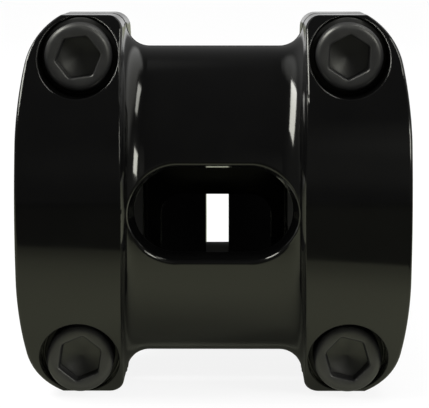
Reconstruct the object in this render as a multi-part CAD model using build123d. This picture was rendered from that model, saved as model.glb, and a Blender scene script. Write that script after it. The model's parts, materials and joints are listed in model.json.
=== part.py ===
"""Short four-bolt handlebar stem. Millimetres.

X runs along the handlebar, Y runs from the faceplate back to the steerer tube, Z runs up the
steerer tube. The origin is the centre of the handlebar bore.
"""
import os
from math import hypot, radians, sqrt, tan

from build123d import *

# Interfaces to the bicycle
bar_bore_r = 15.9
steerer_bore_r = 14.3
reach = 50.0
steerer_clamp_height = 40.0

# M5 screws, shared by the faceplate and the steerer clamp
screw_r = 2.5
screw_head_r = 1.7 * screw_r
screw_head_height = 2.0 * screw_r
screw_head_edge_r = 0.7
screw_length = 18.0
screw_tip = 0.5
screw_clearance = 0.05
plate_hole_clearance = 0.1
hex_across_flats = 2.0 * screw_r
hex_depth = 2.6
hex_edge = 0.15

# Plain washers under the heads
washer_r = screw_head_r + 0.55
washer_thickness = 0.8

# Round pockets that the faceplate screws sit in
pocket_r = screw_head_r + 0.75
pocket_floor_y = -8.6
pocket_edge = 0.12
bolt_z = bar_bore_r + screw_r + 0.6
screw_tip_y = pocket_floor_y - washer_thickness + screw_length
thread_depth_y = screw_tip_y + 2.9

# Bar clamp: a round barrel between two tall lobes
bar_wall = 4.0
barrel_r = bar_bore_r + bar_wall
barrel_half_x = 8.5
groove_corner_r = 3.0
lobe_inner_x = barrel_half_x + groove_corner_r
bolt_x = lobe_inner_x + pocket_r + 0.4
lobe_outer_x = bolt_x + pocket_r + 2.45
lobe_half_z = bolt_z + pocket_r + 0.1
lobe_front_y = -(barrel_r + 1.95)
lobe_flat_front_y = pocket_floor_y - 0.5
lobe_shoulder_y = thread_depth_y - 2.5
lobe_back_y = thread_depth_y + 7.0
lobe_back_z = bolt_z - 5.5
lobe_back_bulge = 1.2
lobe_taper_y = 7.0
lobe_straight_z = 9.0
lobe_shoulder_x = lobe_outer_x - 0.85
lobe_shoulder_z = lobe_half_z - 5.9
lobe_flat_x = lobe_outer_x - 4.95
lobe_shoulder_bulge = 0.11
lobe_inner_corner_r = 1.9
lobe_edge_r = 0.4
split_gap = 2.0

# Oval window through the faceplate, measured at the front of the barrel
window_length = 20.9
window_height = 12.0
window_draft = 8.0
window_edge_r = 0.5

# Steerer clamp, with its bottom face level with the bottom of the lobes
steerer_wall = 4.0
steerer_outer_r = steerer_bore_r + steerer_wall
steerer_bottom_z = -lobe_half_z
steerer_centre_z = steerer_bottom_z + steerer_clamp_height / 2
clamp_edge = 0.6
slot_width = 3.6
pinch_y = reach + steerer_bore_r + screw_r + 1.8
pinch_spacing_z = steerer_clamp_height - 14.2
pinch_seat_x = 7.4
pinch_pocket_r = screw_head_r + 0.95
pinch_hole_depth_x = screw_length - pinch_seat_x - washer_thickness + 1.2
ear_half_x = pinch_hole_depth_x + 1.6
ear_front_y = pinch_y - 3.1
ear_back_y = pinch_y + pinch_pocket_r + 2.2
ear_edge_r = 4.0
ear_scallop_r = 8.5
ear_scallop_depth = 3.0

# Extension between the two clamps
extension_front_y = 9.0
extension_front_z = -0.5
extension_front_width = 2 * bolt_x + 4.2
extension_front_height = 2 * bar_bore_r + 1.2
extension_back_y = reach - 4.0
extension_back_width = 2 * steerer_outer_r - 8.6
extension_back_height = steerer_clamp_height - 9.0
extension_corner_r = 6.0

# Hollow inside the extension
hollow_half_x = 10.0
hollow_top_z = 8.0
hollow_bottom_z = -12.0
hollow_end_y = reach - steerer_outer_r - 0.7
hollow_corner_r = 4.0
port_half_x = 8.0
port_top_z = -2.8
port_bottom_z = -15.5
port_corner_r = 3.0

# Longer than anything it cuts through
past = 60.0

aluminium_colour = Color(0.03, 0.03, 0.03)
steel_colour = Color(0.08, 0.08, 0.085)


def rod(radius, start, direction, length):
    """A cylinder of the given radius from start, running along direction."""
    return extrude(Plane(start, z_dir=direction) * Circle(radius), amount=length)


def box_between(x0, x1, y0, y1, z0, z1):
    """A box given by its two ends along each axis."""
    box = Box(x1 - x0, y1 - y0, z1 - z0)
    return Pos((x0 + x1) / 2, (y0 + y1) / 2, (z0 + z1) / 2) * box


def lobe_side_profile():
    """Side view of the bar clamp, as a face in the YZ plane."""
    flat_y = lobe_flat_front_y
    top = lobe_half_z
    back = lobe_back_z
    middle_y = (lobe_shoulder_y + lobe_back_y) / 2 + lobe_back_bulge
    middle_z = (top + back) / 2 + lobe_back_bulge
    lines = [
        ThreePointArc((flat_y, -top), (lobe_front_y, 0), (flat_y, top)),
        Line((flat_y, top), (lobe_shoulder_y, top)),
        ThreePointArc((lobe_shoulder_y, top), (middle_y, middle_z), (lobe_back_y, back)),
        Line((lobe_back_y, back), (lobe_back_y, -back)),
        ThreePointArc((lobe_back_y, -back), (middle_y, -middle_z), (lobe_shoulder_y, -top)),
        Line((lobe_shoulder_y, -top), (flat_y, -top)),
    ]
    return Plane.YZ * make_face(lines)


def lobe_front_outline(side):
    """Front view of one lobe, as a face in the XZ plane. Side is +1 for right, -1 for left."""
    chord_x = lobe_shoulder_x - lobe_flat_x
    chord_z = lobe_half_z - lobe_shoulder_z
    mid_x = (lobe_shoulder_x + lobe_flat_x) / 2 + lobe_shoulder_bulge * chord_z
    mid_z = (lobe_shoulder_z + lobe_half_z) / 2 + lobe_shoulder_bulge * chord_x
    ease_x = lobe_outer_x - (lobe_outer_x - lobe_shoulder_x) * 0.3
    ease_z = (lobe_straight_z + lobe_shoulder_z) / 2
    top = lobe_half_z
    lines = [
        Line((side * lobe_outer_x, -lobe_straight_z), (side * lobe_outer_x, lobe_straight_z)),
        Line((side * lobe_flat_x, top), (side * lobe_inner_x, top)),
        Line((side * lobe_inner_x, top), (side * lobe_inner_x, -top)),
        Line((side * lobe_inner_x, -top), (side * lobe_flat_x, -top)),
    ]
    for end in (1, -1):
        lines.append(
            ThreePointArc(
                (side * lobe_outer_x, end * lobe_straight_z),
                (side * ease_x, end * ease_z),
                (side * lobe_shoulder_x, end * lobe_shoulder_z),
            )
        )
        lines.append(
            ThreePointArc(
                (side * lobe_shoulder_x, end * lobe_shoulder_z),
                (side * mid_x, end * mid_z),
                (side * lobe_flat_x, end * lobe_half_z),
            )
        )
    outline = make_face(lines)
    inner_corners = [
        corner
        for corner in outline.vertices()
        if abs(abs(corner.X) - lobe_inner_x) < 0.01 and abs(abs(corner.Y) - lobe_half_z) < 0.01
    ]
    outline = fillet(inner_corners, lobe_inner_corner_r)
    return Plane.XZ * outline


def lobe(side):
    """One lobe of the bar clamp with its front edges rounded."""
    start_x = lobe_inner_x - 2.0 if side > 0 else -lobe_outer_x - 2.0
    width = lobe_outer_x - lobe_inner_x + 4.0
    depth = Pos(start_x, 0, 0) * extrude(lobe_side_profile(), amount=width)
    outline = extrude(lobe_front_outline(side), amount=past, both=True)
    solid = depth & outline
    front_face = min(solid.faces(), key=lambda face: face.center().Y)
    return fillet(front_face.edges(), lobe_edge_r)


def barrel():
    """The round middle of the bar clamp, flaring into both lobes through a curved corner."""
    flare_x = barrel_half_x + groove_corner_r
    flare_r = barrel_r + groove_corner_r
    corner = groove_corner_r * (1 - sqrt(0.5))
    profile = make_face(
        [
            Polyline((-flare_x, flare_r), (-flare_x - 4, flare_r), (-flare_x - 4, 0)),
            Line((-flare_x - 4, 0), (flare_x + 4, 0)),
            Polyline((flare_x + 4, 0), (flare_x + 4, flare_r), (flare_x, flare_r)),
            ThreePointArc(
                (flare_x, flare_r),
                (flare_x - corner, barrel_r + corner),
                (barrel_half_x, barrel_r),
            ),
            Line((barrel_half_x, barrel_r), (-barrel_half_x, barrel_r)),
            ThreePointArc(
                (-barrel_half_x, barrel_r),
                (-flare_x + corner, barrel_r + corner),
                (-flare_x, flare_r),
            ),
        ]
    )
    turned = revolve(profile, Axis.X, 360)
    depth = Pos(-lobe_outer_x, 0, 0) * extrude(lobe_side_profile(), amount=2 * lobe_outer_x)
    return turned & depth


def bar_clamp():
    """Both lobes and the barrel in one, bored for the handlebar and not yet split."""
    clamp = barrel() + lobe(1) + lobe(-1)
    return clamp - rod(bar_bore_r, (-past, 0, 0), (1, 0, 0), 2 * past)


def cut_window(plate):
    """Cut the oval window, wider in front by its draft, and round its front edge."""
    front_y = barrel_r + groove_corner_r
    flare = 2 * groove_corner_r * tan(radians(window_draft))
    front_plane = Plane((0, -front_y, 0), x_dir=(1, 0, 0), z_dir=(0, 1, 0))
    oval = front_plane * SlotOverall(window_length + flare, window_height + flare)
    plate = plate - extrude(oval, amount=front_y, taper=window_draft)
    reach_x = window_length / 2 + flare
    reach_z = window_height / 2 + flare
    rim = [
        edge
        for edge in plate.edges()
        if abs(edge.center().X) < reach_x
        and abs(edge.center().Z) < reach_z
        and edge.center().Y < -(bar_bore_r + barrel_r) / 2
    ]
    return fillet(rim, window_edge_r)


def is_pocket_rim(edge):
    """True for an edge that runs round the front of a screw pocket."""
    points = [edge @ share for share in (0, 0.25, 0.5, 0.75, 1)]
    radii = [hypot(abs(point.X) - bolt_x, abs(point.Z) - bolt_z) for point in points]
    on_wall = max(abs(radius - pocket_r) for radius in radii) < 0.01
    return on_wall and max(point.Y for point in points) < pocket_floor_y - 0.02


def make_faceplate():
    """The removable front half of the bar clamp."""
    front = box_between(-past, past, -past, -split_gap / 2, -past, past)
    plate = bar_clamp() & front
    plate = cut_window(plate)
    for x in (-bolt_x, bolt_x):
        for z in (-bolt_z, bolt_z):
            hole_r = screw_r + plate_hole_clearance
            plate = plate - rod(hole_r, (x, -past, z), (0, 1, 0), 2 * past)
            plate = plate - rod(pocket_r, (x, -past, z), (0, 1, 0), past + pocket_floor_y)
    rims = [edge for edge in plate.edges() if is_pocket_rim(edge)]
    return chamfer(rims, pocket_edge)


def extension():
    """The tapered beam between the two clamps."""
    front_plane = Plane((0, extension_front_y, extension_front_z), x_dir=(1, 0, 0), z_dir=(0, 1, 0))
    back_plane = Plane((0, extension_back_y, steerer_centre_z), x_dir=(1, 0, 0), z_dir=(0, 1, 0))
    front = RectangleRounded(extension_front_width, extension_front_height, extension_corner_r)
    back = RectangleRounded(extension_back_width, extension_back_height, extension_corner_r)
    return loft([front_plane * front, back_plane * back])


def lobe_taper():
    """Top view that narrows the back of the lobes towards the extension."""
    wide = lobe_outer_x + 1.0
    back_x = extension_front_width / 2 - 0.5
    outline = Polyline(
        (-wide, 0),
        (-wide, lobe_taper_y - 1.0),
        (-lobe_outer_x, lobe_taper_y),
        (-back_x, lobe_back_y + 0.5),
        (back_x, lobe_back_y + 0.5),
        (lobe_outer_x, lobe_taper_y),
        (wide, lobe_taper_y - 1.0),
        (wide, 0),
        close=True,
    )
    return extrude(make_face(outline), amount=past, both=True)


def steerer_clamp():
    """The outside of the steerer clamp with the two pinch ears behind it."""
    tube = Circle(steerer_outer_r)
    side_y = steerer_outer_r * 0.25
    side_x = sqrt(steerer_outer_r**2 - side_y**2)
    ears = make_face(
        Polyline(
            (-side_x, side_y),
            (-ear_half_x, ear_front_y - reach),
            (-ear_half_x, ear_back_y - reach),
            (ear_half_x, ear_back_y - reach),
            (ear_half_x, ear_front_y - reach),
            (side_x, side_y),
            close=True,
        )
    )
    back_corners = [corner for corner in ears.vertices() if corner.Y > ear_back_y - reach - 0.01]
    ears = fillet(back_corners, ear_edge_r)
    clamp = Pos(0, reach, steerer_bottom_z) * extrude(tube + ears, amount=steerer_clamp_height)
    scallop_start = (-past, ear_back_y + ear_scallop_r - ear_scallop_depth, steerer_centre_z)
    clamp = clamp - rod(ear_scallop_r, scallop_start, (1, 0, 0), 2 * past)
    ends = clamp.edges().group_by(Axis.Z)
    return chamfer(ends[0] + ends[-1], clamp_edge)


def hollow():
    """The pocket bored through the extension from the bar clamp into the steerer clamp."""
    main = box_between(-hollow_half_x, hollow_half_x, 0, hollow_end_y, hollow_bottom_z, hollow_top_z)
    main = fillet(main.edges().filter_by(Axis.Y), hollow_corner_r)
    port = box_between(-port_half_x, port_half_x, hollow_end_y - 5, reach, port_bottom_z, port_top_z)
    port = fillet(port.edges().filter_by(Axis.Y), port_corner_r)
    return main + port


def make_body():
    """The forged body: rear half of the bar clamp, extension and steerer clamp."""
    rear = box_between(-past, past, split_gap / 2, past, -past, past)
    body = (bar_clamp() & rear & lobe_taper()) + extension() + steerer_clamp()
    body = body - rod(bar_bore_r, (-past, 0, 0), (1, 0, 0), 2 * past)
    body = body - hollow()
    body = body - rod(steerer_bore_r, (0, reach, -past), (0, 0, 1), 2 * past)
    half_slot = slot_width / 2
    body = body - box_between(-half_slot, half_slot, reach, reach + past, -past, past)
    hole_r = screw_r + screw_clearance
    for x in (-bolt_x, bolt_x):
        for z in (-bolt_z, bolt_z):
            body = body - rod(hole_r, (x, 0, z), (0, 1, 0), thread_depth_y)
    for side, z in ((-1, pinch_z(1)), (1, pinch_z(-1))):
        seat_point = (side * pinch_seat_x, pinch_y, z)
        body = body - rod(hole_r, seat_point, (-side, 0, 0), pinch_seat_x + pinch_hole_depth_x)
        body = body - rod(pinch_pocket_r, seat_point, (side, 0, 0), past)
    return body


def pinch_z(end):
    """Height of a pinch screw: end is +1 for the upper one and -1 for the lower one."""
    return steerer_centre_z + end * pinch_spacing_z / 2


def make_screw(seat, outward, turn):
    """A socket head cap screw. Seat is the point under the head, outward points out of the head."""
    shank = Pos(0, 0, -screw_length) * Cylinder(
        screw_r,
        screw_length,
        align=(Align.CENTER, Align.CENTER, Align.MIN),
    )
    shank = chamfer(shank.edges().sort_by(Axis.Z)[0], screw_tip)
    head = Cylinder(
        screw_head_r,
        screw_head_height,
        align=(Align.CENTER, Align.CENTER, Align.MIN),
    )
    head = fillet(head.edges().sort_by(Axis.Z)[-1], screw_head_edge_r)
    hexagon = RegularPolygon(hex_across_flats / 2, 6, major_radius=False)
    socket = extrude(Pos(0, 0, screw_head_height) * hexagon, amount=-hex_depth)
    screw = (shank + head) - socket
    rim = [
        edge
        for edge in screw.edges()
        if edge.geom_type == GeomType.LINE and abs(edge.center().Z - screw_head_height) < 0.01
    ]
    screw = chamfer(rim, hex_edge)
    across = Vector(0, 0, 1) if abs(outward[1]) > 0.5 else Vector(0, 1, 0)
    place = Location(Plane(seat, x_dir=across, z_dir=outward))
    return place * Rot(0, 0, turn) * screw


def make_washer(seat, outward):
    """A plain washer lying on its seat."""
    start = Plane(seat, z_dir=outward)
    ring = Circle(washer_r) - Circle(screw_r + screw_clearance)
    return extrude(start * ring, amount=washer_thickness)


def save(solid, name, colour):
    """Write one piece under its own name."""
    solid = solid if isinstance(solid, Solid) else solid.solids()[0]
    solid.label = name
    solid.color = colour
    export_step(solid, "parts/" + name + ".step")


os.makedirs("parts", exist_ok=True)

save(make_body(), "stem_body", aluminium_colour)
save(make_faceplate(), "faceplate", aluminium_colour)

socket_turns = {
    "upper_left": (-1, 1, -22),
    "upper_right": (1, 1, -3),
    "lower_left": (-1, -1, -8),
    "lower_right": (1, -1, 16),
}
for place_name, (side_x, side_z, socket_turn) in socket_turns.items():
    seat_point = (side_x * bolt_x, pocket_floor_y, side_z * bolt_z)
    head_point = (side_x * bolt_x, pocket_floor_y - washer_thickness, side_z * bolt_z)
    save(make_washer(seat_point, (0, -1, 0)), "washer_" + place_name, steel_colour)
    save(make_screw(head_point, (0, -1, 0), socket_turn), "bolt_" + place_name, steel_colour)

for pinch_name, side_x, end in (("upper", -1, 1), ("lower", 1, -1)):
    seat_point = (side_x * pinch_seat_x, pinch_y, pinch_z(end))
    head_point = (side_x * (pinch_seat_x + washer_thickness), pinch_y, pinch_z(end))
    save(make_washer(seat_point, (side_x, 0, 0)), "pinch_washer_" + pinch_name, steel_colour)
    save(make_screw(head_point, (side_x, 0, 0), 0), "pinch_bolt_" + pinch_name, steel_colour)
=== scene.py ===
import json
from math import cos, pi, radians, sin

import bmesh
import bpy
from mathutils import Matrix, Vector


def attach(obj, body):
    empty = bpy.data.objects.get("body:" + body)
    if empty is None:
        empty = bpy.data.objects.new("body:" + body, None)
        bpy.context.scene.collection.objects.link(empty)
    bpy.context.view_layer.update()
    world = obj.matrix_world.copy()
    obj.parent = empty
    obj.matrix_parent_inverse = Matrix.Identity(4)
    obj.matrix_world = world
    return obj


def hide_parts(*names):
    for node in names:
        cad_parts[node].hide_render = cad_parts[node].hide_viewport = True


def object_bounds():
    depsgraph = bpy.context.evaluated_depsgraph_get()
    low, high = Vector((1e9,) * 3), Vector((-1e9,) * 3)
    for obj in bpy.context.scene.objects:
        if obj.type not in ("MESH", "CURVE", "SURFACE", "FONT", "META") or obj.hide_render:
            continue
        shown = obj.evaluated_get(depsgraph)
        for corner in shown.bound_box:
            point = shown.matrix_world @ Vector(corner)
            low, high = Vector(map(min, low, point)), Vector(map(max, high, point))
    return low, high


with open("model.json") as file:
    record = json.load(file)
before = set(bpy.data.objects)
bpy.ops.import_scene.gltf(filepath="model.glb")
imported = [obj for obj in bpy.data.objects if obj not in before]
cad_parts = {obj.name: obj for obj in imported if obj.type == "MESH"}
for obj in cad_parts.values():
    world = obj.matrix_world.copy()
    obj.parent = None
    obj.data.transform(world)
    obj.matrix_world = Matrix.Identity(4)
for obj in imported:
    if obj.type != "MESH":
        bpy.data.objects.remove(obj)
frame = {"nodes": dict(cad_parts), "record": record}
cad_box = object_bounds()

# The handlebar stem in its studio, in metres, in the CAD model's own frame. X runs along the
# handlebar, Y from the faceplate back to the steerer tube, and Z up. A place in the room is an
# azimuth, 0 in front of the faceplate and 90 at +X, and an elevation, both in degrees.

MM = 0.001

# Camera
CAMERA_DISTANCE = 300 * MM
CAMERA_AZIMUTH = 0.4
CAMERA_ELEVATION = 6.2
CAMERA_AIM_Z = -0.9 * MM
CAMERA_CLIP = (0.01, 50.0)
VIEW_WIDTH = 56.4 * MM
SENSOR_WIDTH = 36.0

# Screws: M5 with a socket head, with heights measured from under the head
SCREW_RADIUS = 2.5 * MM
SCREW_LENGTH = 18.0 * MM
TIP_FLAT = 1.75 * MM
TIP_RADIUS = 1.88 * MM
TIP_CHAMFER = 0.45 * MM
NECK_HEIGHT = 0.05 * MM
HEAD_RADIUS = 4.25 * MM
HEAD_HEIGHT = 5.0 * MM
HEAD_ROUND = 0.75 * MM
HEAD_EDGE = 0.12 * MM
HEAD_EDGE_BULGE = 0.3
THREAD_PITCH = 0.8 * MM
THREAD_DEPTH = 0.42 * MM
THREAD_CREST = 0.12
THREAD_ROOT = 0.20
RINGS_PER_PITCH = 7

# The hexagon socket. Flat is half its size across flats, and corner is how far its rounded
# corners reach as a share of that. The foot is an inset and a height, and each ring of the
# mouth is a flare and a depth below the head's top.
SOCKET_FLAT = 2.5 * MM
SOCKET_DEPTH = 2.6 * MM
SOCKET_CORNER = 1.13
SOCKET_FOOT = (0.12 * MM, 0.15 * MM)
SOCKET_MOUTH = ((0.20 * MM, 0.0), (0.15 * MM, 0.02 * MM), (0.03 * MM, 0.14 * MM), (0.0, 0.20 * MM))
DRILL_RADIUS = 2.15 * MM
DRILL_TIP_RADIUS = 0.25 * MM
DRILL_STEP = 0.05 * MM
DRILL_DEPTH = 0.90 * MM

# Each screw's turn, in degrees, and the length of its shank that has no thread
CLAMP_SHANK = 1.6 * MM
PINCH_SHANK = 10.2 * MM
SCREWS = {
    "bolt_upper_left": (-22, CLAMP_SHANK),
    "bolt_upper_right": (-3, CLAMP_SHANK),
    "bolt_lower_left": (-8, CLAMP_SHANK),
    "bolt_lower_right": (16, CLAMP_SHANK),
    "pinch_bolt_upper": (0, PINCH_SHANK),
    "pinch_bolt_lower": (0, PINCH_SHANK),
}

# Washers. The ease keeps a washer's face just clear of the screw head.
WASHER_RADIUS = 4.8 * MM
WASHER_BORE = 2.55 * MM
WASHER_THICKNESS = 0.8 * MM
WASHER_ROUND = 0.12 * MM
WASHER_EASE = 0.006 * MM

# Turned meshes. The holds are how far an extra ring lies from an edge to keep it crisp.
TURN_STEPS = 60
HOLD = 0.1 * MM
RIM_HOLD = 0.08 * MM
SCREW_CREASE = radians(32)
WASHER_CREASE = radians(60)

# Finishes: base colours, ranges of roughness, and the span that most of a noise lies in
NOISE_SPAN = (0.3, 0.7)
ANODISE_SHADES = ((0.0016, 0.0016, 0.0017, 1.0), (0.0024, 0.0024, 0.0024, 1.0))
ANODISE_ROUGHNESS = (0.085, 0.125)
ANODISE_TINT = (1.0, 1.0, 0.9, 1.0)
EDGE_SOFTENING = 0.18 * MM
# Painted light: the bore's paler base colour stands in for light reflected inside the bore.
BORE_PAINTED_LIGHT = (0.014, 0.014, 0.013, 1.0)
BORE_EXTRA_ROUGHNESS = 0.18
BORE_MARGIN = 0.04 * MM
OXIDE_SHADES = ((0.010, 0.010, 0.011, 1.0), (0.020, 0.020, 0.020, 1.0))
OXIDE_ROUGHNESS = (0.36, 0.46)
OXIDE_TINT = (1.0, 1.0, 0.88, 1.0)

WHITE = (1.0, 1.0, 1.0, 1.0)

# Floor. The camera sees a pale sheet, most of it glowing so that its shadows stay soft. Gloss
# mirrors a table top instead, with a slanted front edge, painted light that makes it brighter
# towards +X and away from that edge, and light spilled under the stem.
# Each map is a start, an end and the values there.
SHEET_REACH = 6.0
SHEET_TONE = (0.95, 0.95, 0.95, 1.0)
SHEET_GLOW_SHARE = 0.88
TABLE_TINT = (0.97, 1.0, 0.78)
TABLE_SLANT = 0.4
TABLE_EDGE = (-61 * MM, -59 * MM, 0.03, 0.185)
TABLE_DEPTH_LIGHT = (-59 * MM, -40 * MM, 1.0, 1.5)
TABLE_SIDE_LIGHT = (-25 * MM, 25 * MM, 0.62, 1.14)
SPILL_FRONT = (-60 * MM, -18 * MM, 0.0, 0.36)
SPILL_BACK = (-25 * MM, -2 * MM, 1.0, 0.10)

# Room. Its maps run over the parts of a direction of length 1. The panel goes from azimuth 74
# to azimuth 171, opposite -9, and each of these has the width of its soft edge.
ROOM_SOFT_LIGHT = 0.44
ROOM_DARK = 0.04
HORIZON_BRIGHT = (0.03, 0.10, 0.53, 0.0)
HORIZON_FAINT = (0.25, 0.85, 0.08, 0.0)
HORIZON_BEHIND = (0.2, 0.7, 0.0, 1.0)
PANEL_BOTTOM = (0.28, 0.44, 0.0, 0.59)
PANEL_TOP = (0.80, 0.91, 1.0, 0.0)
PANEL_START = (74, 0.35)
PANEL_STOP = (-9, 0.10)

# Soft glows that the gloss mirrors: azimuth, elevation, inner and outer half angle, strength
ROOM_GLOWS = (
    (50, 5, 15, 50, 0.08),
    (15, 32, 4, 14, 0.11),
    (10, 19, 4, 17, 0.07),
    (-146, 50, 5, 22, 0.40),
    (-60, 10, 20, 60, 0.056),
    (-120, 20, 10, 40, 0.12),
)

# Softboxes: azimuth, elevation, width, height, roll in degrees, radiance
SOFTBOX_DISTANCE = 0.7
SOFTBOXES = {
    "lamp_left": (-83, 51, 0.58, 0.25, -9, 12.5),
    "lamp_right_low": (43, 27, 0.23, 0.20, 0, 12.5),
    "lamp_right_high": (86, 66, 0.32, 0.14, 42, 6.0),
}
SKY_STRENGTH = 1.5
SKY_ANGLE = radians(70)


# ---------------------------------------------------------------- facts from the frame


def joint_named(name):
    """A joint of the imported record."""
    return next(joint for joint in frame["record"]["behaviour"]["joints"] if joint["name"] == name)


def bore_radius():
    """The radius of the handlebar clamp, from its mount."""
    mounts = frame["record"]["mounts"]
    clamp = next(mount for mount in mounts if mount["name"] == "handlebar_clamp")
    return clamp["dims"]["r_mm"] * MM


def toward(azimuth, elevation):
    """The direction of a place in the room."""
    side, rise = radians(azimuth), radians(elevation)
    return Vector((sin(side) * cos(rise), -cos(side) * cos(rise), sin(rise)))


# ---------------------------------------------------------------- node helpers


def new_material(name):
    """An empty node material: itself, its tree and the socket that takes its shader."""
    material = bpy.data.materials.new(name)
    material.use_nodes = True
    tree = material.node_tree
    tree.nodes.clear()
    return material, tree, tree.nodes.new("ShaderNodeOutputMaterial").inputs[0]


def add(tree, kind, **values):
    """A node with the given input values. Underscores in their names stand for spaces."""
    node = tree.nodes.new(kind)
    for key, value in values.items():
        node.inputs[key.replace("_", " ")].default_value = value
    return node


def feed(tree, socket, value):
    """Gives a socket a number, or links another node's output to it."""
    if isinstance(value, (int, float)):
        socket.default_value = value
    else:
        tree.links.new(value, socket)


def calculate(tree, operation, first, second=0.0):
    """The output of a maths node. Each of first and second is a number or an output."""
    node = tree.nodes.new("ShaderNodeMath")
    node.operation = operation
    feed(tree, node.inputs[0], first)
    feed(tree, node.inputs[1], second)
    return node.outputs[0]


def product(tree, *values):
    """All the values multiplied together."""
    result = values[0]
    for value in values[1:]:
        result = calculate(tree, "MULTIPLY", result, value)
    return result


def total(tree, *values):
    """All the values added up."""
    result = values[0]
    for value in values[1:]:
        result = calculate(tree, "ADD", result, value)
    return result


def map_range(tree, value, low, high, new_low, new_high, smooth=True):
    """Value taken from one range to another, held at the ends."""
    node = tree.nodes.new("ShaderNodeMapRange")
    node.interpolation_type = "SMOOTHSTEP" if smooth else "LINEAR"
    tree.links.new(value, node.inputs[0])
    for socket, number in zip(node.inputs[1:5], (low, high, new_low, new_high)):
        socket.default_value = number
    return node.outputs[0]


def mix_colours(tree, share, first, second):
    """A blend of two colours by a share. First may be an output, and second is a colour."""
    node = tree.nodes.new("ShaderNodeMix")
    node.data_type = "RGBA"
    tree.links.new(share, node.inputs["Factor"])
    if isinstance(first, tuple):
        node.inputs["A"].default_value = first
    else:
        tree.links.new(first, node.inputs["A"])
    node.inputs["B"].default_value = second
    return node.outputs["Result"]


def mix_numbers(tree, share, first, second):
    """A blend of two numbers by a share."""
    node = tree.nodes.new("ShaderNodeMix")
    node.data_type = "FLOAT"
    tree.links.new(share, node.inputs["Factor"])
    feed(tree, node.inputs["A"], first)
    feed(tree, node.inputs["B"], second)
    return node.outputs["Result"]


def mix_shaders(tree, share, first, second):
    """A blend of two shaders by a share."""
    node = tree.nodes.new("ShaderNodeMixShader")
    feed(tree, node.inputs[0], share)
    tree.links.new(first, node.inputs[1])
    tree.links.new(second, node.inputs[2])
    return node.outputs[0]


def shaded_place(tree):
    """The shaded point in the CAD frame, and its X, Y and Z."""
    place = tree.nodes.new("ShaderNodeTexCoord").outputs["Object"]
    split = tree.nodes.new("ShaderNodeSeparateXYZ")
    tree.links.new(place, split.inputs[0])
    return place, split.outputs


def noise(tree, place, **values):
    """The strength of a noise texture at the shaded point."""
    node = add(tree, "ShaderNodeTexNoise", **values)
    tree.links.new(place, node.inputs["Vector"])
    return node.outputs["Fac"]


def emission(tree, strength, colour):
    """A glow of its own."""
    node = add(tree, "ShaderNodeEmission", Color=colour)
    feed(tree, node.inputs["Strength"], strength)
    return node.outputs[0]


# ---------------------------------------------------------------- finishes


def black_anodise():
    """Gloss black anodised aluminium, turned satin in the handlebar bore, where a paler base colour
    is painted light.
    """
    material, tree, surface = new_material("black_anodised")
    shader = add(tree, "ShaderNodeBsdfPrincipled", Metallic=0.0, IOR=1.5)
    shader.inputs["Specular Tint"].default_value = ANODISE_TINT
    tree.links.new(shader.outputs[0], surface)
    place, axes = shaded_place(tree)

    squares = [product(tree, axes[axis], axes[axis]) for axis in ("Y", "Z")]
    from_bar = calculate(tree, "SQRT", total(tree, *squares))
    in_bore = calculate(tree, "LESS_THAN", from_bar, bore_radius() + BORE_MARGIN)

    cloud = noise(tree, place, Scale=180.0, Detail=4.0, Roughness=0.55)
    shade = mix_colours(tree, cloud, *ANODISE_SHADES)
    # Painted light: the bore is given a paler colour in place of the light reflected inside it.
    shade = mix_colours(tree, in_bore, shade, BORE_PAINTED_LIGHT)
    tree.links.new(shade, shader.inputs["Base Color"])
    gloss = map_range(tree, cloud, *NOISE_SPAN, *ANODISE_ROUGHNESS)
    satin = total(tree, gloss, product(tree, in_bore, BORE_EXTRA_ROUGHNESS))
    tree.links.new(satin, shader.inputs["Roughness"])

    softened = add(tree, "ShaderNodeBevel", Radius=EDGE_SOFTENING)
    softened.samples = 6
    bump = add(tree, "ShaderNodeBump", Strength=0.05, Distance=0.02 * MM)
    tree.links.new(noise(tree, place, Scale=4200.0, Detail=2.0), bump.inputs["Height"])
    tree.links.new(softened.outputs[0], bump.inputs["Normal"])
    tree.links.new(bump.outputs[0], shader.inputs["Normal"])
    return material


def black_oxide():
    """Satin black oxide on steel screws and washers, with fine blotches."""
    material, tree, surface = new_material("black_oxide_steel")
    shader = add(tree, "ShaderNodeBsdfPrincipled", Metallic=0.0, IOR=1.6)
    shader.inputs["Specular Tint"].default_value = OXIDE_TINT
    tree.links.new(shader.outputs[0], surface)

    place = shaded_place(tree)[0]
    blotch = noise(tree, place, Scale=600.0, Detail=5.0, Roughness=0.6)
    tree.links.new(mix_colours(tree, blotch, *OXIDE_SHADES), shader.inputs["Base Color"])
    satin = map_range(tree, blotch, *NOISE_SPAN, *OXIDE_ROUGHNESS)
    tree.links.new(satin, shader.inputs["Roughness"])
    bump = add(tree, "ShaderNodeBump", Strength=0.15, Distance=0.03 * MM)
    tree.links.new(blotch, bump.inputs["Height"])
    tree.links.new(bump.outputs[0], shader.inputs["Normal"])
    return material


# ---------------------------------------------------------------- turned shapes


def ring_points(radius_at, height):
    """One ring of a turned piece. The radius may change round the ring."""
    points = []
    for step in range(TURN_STEPS):
        angle = 2 * pi * step / TURN_STEPS
        radius = radius_at(angle)
        points.append(Vector((radius * cos(angle), radius * sin(angle), height)))
    return points


def round_ring(radius, height):
    """A circular ring."""
    return ring_points(lambda angle: radius, height)


def hex_ring(flat, height):
    """A hexagonal ring with its corners slightly rounded off."""
    sector = pi / 3

    def radius_at(angle):
        within = (angle + sector / 2) % sector - sector / 2
        return min(flat / cos(within), flat * SOCKET_CORNER)

    return ring_points(radius_at, height)


def thread_ring(height, strength):
    """A ring of a right-hand thread cut into the shank, as deep as strength says."""

    def radius_at(angle):
        phase = (height / THREAD_PITCH - angle / (2 * pi)) % 1.0
        from_crest = abs(2 * phase - 1)
        cut = (from_crest - THREAD_CREST) / (1 - THREAD_CREST - THREAD_ROOT)
        return SCREW_RADIUS - THREAD_DEPTH * strength * min(max(cut, 0.0), 1.0)

    return ring_points(radius_at, height)


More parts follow.
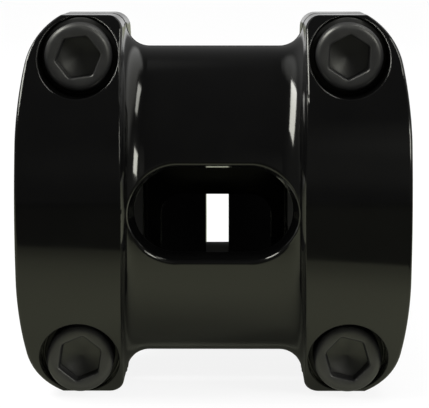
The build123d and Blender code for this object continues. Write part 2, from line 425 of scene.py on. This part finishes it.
def quarter_round(radius, height, rounding, start, steps):
    """Rings over a rounded edge, a quarter turn from a start angle, round a centre."""
    rings = []
    for step in range(steps + 1):
        turn = radians(start) + pi / 2 * step / steps
        rings.append(round_ring(radius + rounding * cos(turn), height + rounding * sin(turn)))
    return rings


def shank_rings(plain):
    """The shank from its tip up to the head, with no thread on the plain length by the head."""
    tip = -SCREW_LENGTH
    start = tip + TIP_CHAMFER
    stop = -plain
    step = THREAD_PITCH / RINGS_PER_PITCH
    rings = [round_ring(TIP_FLAT, tip), round_ring(TIP_RADIUS, tip)]
    for index in range(int((stop - start) / step) + 1):
        height = start + index * step
        fade = min((stop - height) / THREAD_PITCH, 1.0)
        rings.append(thread_ring(height, max(fade, 0.0)))
    rings.append(round_ring(SCREW_RADIUS, -NECK_HEIGHT))
    rings.append(round_ring(SCREW_RADIUS, 0.0))
    return rings


def head_rings():
    """The cap head from its underside over its rounded rim to the socket."""
    bulge = HEAD_EDGE * HEAD_EDGE_BULGE
    return [
        round_ring(SCREW_RADIUS + NECK_HEIGHT, 0.0),
        round_ring(HEAD_RADIUS - HEAD_EDGE - HOLD, 0.0),
        round_ring(HEAD_RADIUS - HEAD_EDGE, 0.0),
        round_ring(HEAD_RADIUS - bulge, bulge),
        round_ring(HEAD_RADIUS, HEAD_EDGE),
        round_ring(HEAD_RADIUS, HEAD_EDGE + HOLD),
        round_ring(HEAD_RADIUS, HEAD_HEIGHT - HEAD_ROUND - HOLD),
        *quarter_round(HEAD_RADIUS - HEAD_ROUND, HEAD_HEIGHT - HEAD_ROUND, HEAD_ROUND, 0, 8),
        round_ring(HEAD_RADIUS - HEAD_ROUND - RIM_HOLD, HEAD_HEIGHT),
    ]


def socket_rings():
    """The hexagon socket from its flared mouth to its drilled bottom."""
    bottom = HEAD_HEIGHT - SOCKET_DEPTH
    foot_inset, foot_height = SOCKET_FOOT
    return [
        *(hex_ring(SOCKET_FLAT + flare, HEAD_HEIGHT - below) for flare, below in SOCKET_MOUTH),
        hex_ring(SOCKET_FLAT, bottom + foot_height),
        hex_ring(SOCKET_FLAT - foot_inset, bottom),
        round_ring(DRILL_RADIUS, bottom - DRILL_STEP),
        round_ring(DRILL_TIP_RADIUS, bottom - DRILL_DEPTH),
    ]


def washer_rings():
    """A plain washer with rounded edges, its underside at height 0."""
    outer, inner = WASHER_RADIUS - WASHER_ROUND, WASHER_BORE + WASHER_ROUND
    low, high = WASHER_ROUND, WASHER_THICKNESS - WASHER_EASE - WASHER_ROUND
    corners = ((outer, low, -90), (outer, high, 0), (inner, high, 90), (inner, low, 180))
    rings = []
    for radius, height, start in corners:
        rings += quarter_round(radius, height, WASHER_ROUND, start, 3)
    return rings


def skin(rings, closed=False):
    """A mesh over a stack of rings. Open stacks are capped at both ends with a fan."""
    shape = bmesh.new()
    rows = [[shape.verts.new(point) for point in ring] for ring in rings]
    pairs = list(zip(rows, rows[1:]))
    if closed:
        pairs.append((rows[-1], rows[0]))
    for lower, upper in pairs:
        for step in range(TURN_STEPS):
            after = (step + 1) % TURN_STEPS
            shape.faces.new((lower[step], lower[after], upper[after], upper[step]))
    if not closed:
        for row in (rows[0], rows[-1]):
            hub = shape.verts.new(sum((vert.co for vert in row), Vector()) / TURN_STEPS)
            for step in range(TURN_STEPS):
                shape.faces.new((row[step], row[(step + 1) % TURN_STEPS], hub))
    bmesh.ops.recalc_face_normals(shape, faces=shape.faces)
    return shape


# ---------------------------------------------------------------- screws and washers


def outward_place(origin, outward, turn):
    """The matrix that puts a turned piece at origin with its Z axis along outward."""
    z_axis = Vector(outward).normalized()
    x_axis = Vector((1, 0, 0)) if abs(z_axis.x) < 0.5 else Vector((0, 1, 0))
    y_axis = z_axis.cross(x_axis)
    turned = Matrix((x_axis, y_axis, z_axis)).transposed().to_4x4()
    return Matrix.Translation(Vector(origin)) @ turned @ Matrix.Rotation(turn, 4, "Z")


def stand_in(node, shape, place, material, crease):
    """Puts a bmesh in place of a CAD node, shaded smooth up to the crease angle."""
    for face in shape.faces:
        face.smooth = True
    for edge in shape.edges:
        if len(edge.link_faces) == 2 and edge.calc_face_angle() > crease:
            edge.smooth = False
    shape.transform(place)
    name = node + "_detail"
    mesh = bpy.data.meshes.new(name)
    shape.to_mesh(mesh)
    shape.free()
    mesh.materials.append(material)
    piece = bpy.data.objects.new(name, mesh)
    bpy.context.scene.collection.objects.link(piece)
    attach(piece, node)
    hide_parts(node)


def make_fasteners(material):
    """Every screw, seated where its turning joint says, and the washer under its head."""
    for node, (turn, plain) in SCREWS.items():
        joint = joint_named(node + "_turn")
        seat, outward = Vector(joint["pos_m"]), Vector(joint["axis"])
        screw = skin(shank_rings(plain) + head_rings() + socket_rings())
        place = outward_place(seat, outward, radians(turn))
        stand_in(node, screw, place, material, SCREW_CREASE)
        washer = skin(washer_rings(), closed=True)
        place = outward_place(seat - outward * WASHER_THICKNESS, outward, 0.0)
        stand_in(node.replace("bolt", "washer"), washer, place, material, WASHER_CREASE)


# ---------------------------------------------------------------- floor


def table_mirrored(tree, axes):
    """What gloss mirrors of the floor: a table top with painted light on it, and light spilled under
    the stem.
    """
    from_edge = calculate(tree, "SUBTRACT", axes["Y"], product(tree, axes["X"], TABLE_SLANT))
    # Painted light: the table's colour grows brighter towards +X and away from its front edge, as
    # light falls on it.
    brightness = product(
        tree,
        map_range(tree, from_edge, *TABLE_EDGE),
        map_range(tree, from_edge, *TABLE_DEPTH_LIGHT),
        map_range(tree, axes["X"], *TABLE_SIDE_LIGHT, smooth=False),
    )
    colour = tree.nodes.new("ShaderNodeCombineColor")
    for channel, part in zip(("Red", "Green", "Blue"), TABLE_TINT):
        tree.links.new(product(tree, brightness, part), colour.inputs[channel])
    lit = tree.nodes.new("ShaderNodeBsdfDiffuse")
    tree.links.new(colour.outputs[0], lit.inputs["Color"])

    front = map_range(tree, from_edge, *SPILL_FRONT)
    back = map_range(tree, axes["Y"], *SPILL_BACK)
    spill = emission(tree, product(tree, front, back), (*TABLE_TINT, 1.0))
    both = tree.nodes.new("ShaderNodeAddShader")
    tree.links.new(lit.outputs[0], both.inputs[0])
    tree.links.new(spill, both.inputs[1])
    return both.outputs[0]


def pale_sheet():
    """White to the camera, with the stem's shadow on it, and a table top in reflections."""
    material, tree, surface = new_material("pale_sheet")
    axes = shaded_place(tree)[1]
    sheet = add(tree, "ShaderNodeBsdfDiffuse", Color=SHEET_TONE).outputs[0]
    seen = mix_shaders(tree, SHEET_GLOW_SHARE, sheet, emission(tree, 1.0, WHITE))
    mirrored = table_mirrored(tree, axes)
    in_gloss = tree.nodes.new("ShaderNodeLightPath").outputs["Is Glossy Ray"]
    tree.links.new(mix_shaders(tree, in_gloss, seen, mirrored), surface)
    return material


def make_floor():
    """A flat square under the lowest point of the stem."""
    low = cad_box[0][2]
    reach = SHEET_REACH
    mesh = bpy.data.meshes.new("floor")
    corners = [(-reach, -reach, low), (reach, -reach, low), (reach, reach, low), (-reach, reach, low)]
    mesh.from_pydata(corners, [], [(0, 1, 2, 3)])
    mesh.materials.append(pale_sheet())
    floor = bpy.data.objects.new("floor", mesh)
    bpy.context.scene.collection.objects.link(floor)


# ---------------------------------------------------------------- room


def glow(tree, way, azimuth, elevation, inner, outer, strength):
    """A soft round patch of light in the room, inner and outer being its half angles."""
    aim = tree.nodes.new("ShaderNodeVectorMath")
    aim.operation = "DOT_PRODUCT"
    tree.links.new(way, aim.inputs[0])
    aim.inputs[1].default_value = toward(azimuth, elevation)
    closeness = aim.outputs["Value"]
    return map_range(tree, closeness, cos(radians(outer)), cos(radians(inner)), 0.0, strength)


def past_azimuth(tree, axes, azimuth, soft):
    """Rises from 0 to 1 over a soft edge past an azimuth, up to the azimuth opposite."""
    along_x = product(tree, axes["X"], cos(radians(azimuth)))
    along_y = product(tree, axes["Y"], sin(radians(azimuth)))
    return map_range(tree, total(tree, along_x, along_y), 0.0, soft, 0.0, 1.0)


def horizon(tree, axes):
    """A bright band low behind the stem, with a faint one above it."""
    height = calculate(tree, "ABSOLUTE", axes["Z"])
    bright = map_range(tree, height, *HORIZON_BRIGHT)
    faint = map_range(tree, height, *HORIZON_FAINT, smooth=False)
    behind = map_range(tree, axes["Y"], *HORIZON_BEHIND)
    return product(tree, total(tree, bright, faint), behind)


def pale_panel(tree, axes):
    """A broad pale panel in the room behind the stem on the right."""
    return product(
        tree,
        map_range(tree, axes["Z"], *PANEL_BOTTOM),
        map_range(tree, axes["Z"], *PANEL_TOP),
        past_azimuth(tree, axes, *PANEL_START),
        past_azimuth(tree, axes, *PANEL_STOP),
    )


def make_world():
    """White to the camera. In reflections, a dark room with soft glows and a bright horizon."""
    world = bpy.data.worlds.new("studio")
    bpy.context.scene.world = world
    world.use_nodes = True
    tree = world.node_tree
    tree.nodes.clear()
    way = tree.nodes.new("ShaderNodeTexCoord").outputs["Generated"]
    split = tree.nodes.new("ShaderNodeSeparateXYZ")
    tree.links.new(way, split.inputs[0])

    parts = [horizon(tree, split.outputs), ROOM_DARK, pale_panel(tree, split.outputs)]
    parts += [glow(tree, way, *patch) for patch in ROOM_GLOWS]
    mirrored = total(tree, *parts)

    ray = tree.nodes.new("ShaderNodeLightPath").outputs
    room = mix_numbers(tree, ray["Is Glossy Ray"], ROOM_SOFT_LIGHT, mirrored)
    strength = mix_numbers(tree, ray["Is Camera Ray"], room, 1.0)
    background = add(tree, "ShaderNodeBackground", Color=WHITE)
    tree.links.new(strength, background.inputs["Strength"])
    output = tree.nodes.new("ShaderNodeOutputWorld")
    tree.links.new(background.outputs[0], output.inputs[0])


# ---------------------------------------------------------------- lamps and camera


def softbox(name, azimuth, elevation, width, height, roll, radiance):
    """A rectangular lamp that faces the stem. The camera doesn't see it, but gloss does."""
    lamp = bpy.data.lights.new(name, "AREA")
    lamp.shape = "RECTANGLE"
    lamp.size = width
    lamp.size_y = height
    lamp.energy = radiance * pi * width * height
    box = bpy.data.objects.new(name, lamp)
    away = toward(azimuth, elevation)
    rolled = Matrix.Rotation(radians(roll), 3, "Z").to_quaternion()
    box.rotation_euler = (away.to_track_quat("Z", "Y") @ rolled).to_euler()
    box.location = away * SOFTBOX_DISTANCE
    box.visible_camera = False
    bpy.context.scene.collection.objects.link(box)


def make_lamps():
    """The softboxes, and a soft top light that gloss doesn't mirror."""
    for name, facts in SOFTBOXES.items():
        softbox(name, *facts)
    sun = bpy.data.lights.new("sky", "SUN")
    sun.energy = SKY_STRENGTH
    sun.angle = SKY_ANGLE
    sky = bpy.data.objects.new("sky", sun)
    sky.visible_glossy = False
    bpy.context.scene.collection.objects.link(sky)


def make_camera():
    """The view from in front and slightly above."""
    data = bpy.data.cameras.new("camera")
    data.sensor_width = SENSOR_WIDTH
    data.lens = SENSOR_WIDTH * CAMERA_DISTANCE / VIEW_WIDTH
    data.clip_start, data.clip_end = CAMERA_CLIP
    camera = bpy.data.objects.new("camera", data)
    away = toward(CAMERA_AZIMUTH, CAMERA_ELEVATION)
    camera.location = Vector((0, 0, CAMERA_AIM_Z)) + away * CAMERA_DISTANCE
    camera.rotation_euler = away.to_track_quat("Z", "Y").to_euler()
    bpy.context.scene.collection.objects.link(camera)
    bpy.context.scene.camera = camera


# ---------------------------------------------------------------- build

anodised = black_anodise()
for node_name in ("stem_body", "faceplate"):
    for slot in frame["nodes"][node_name].material_slots:
        slot.material = anodised

make_fasteners(black_oxide())
make_floor()
make_world()
make_lamps()
make_camera()
bpy.context.scene.view_settings.view_transform = "Standard"
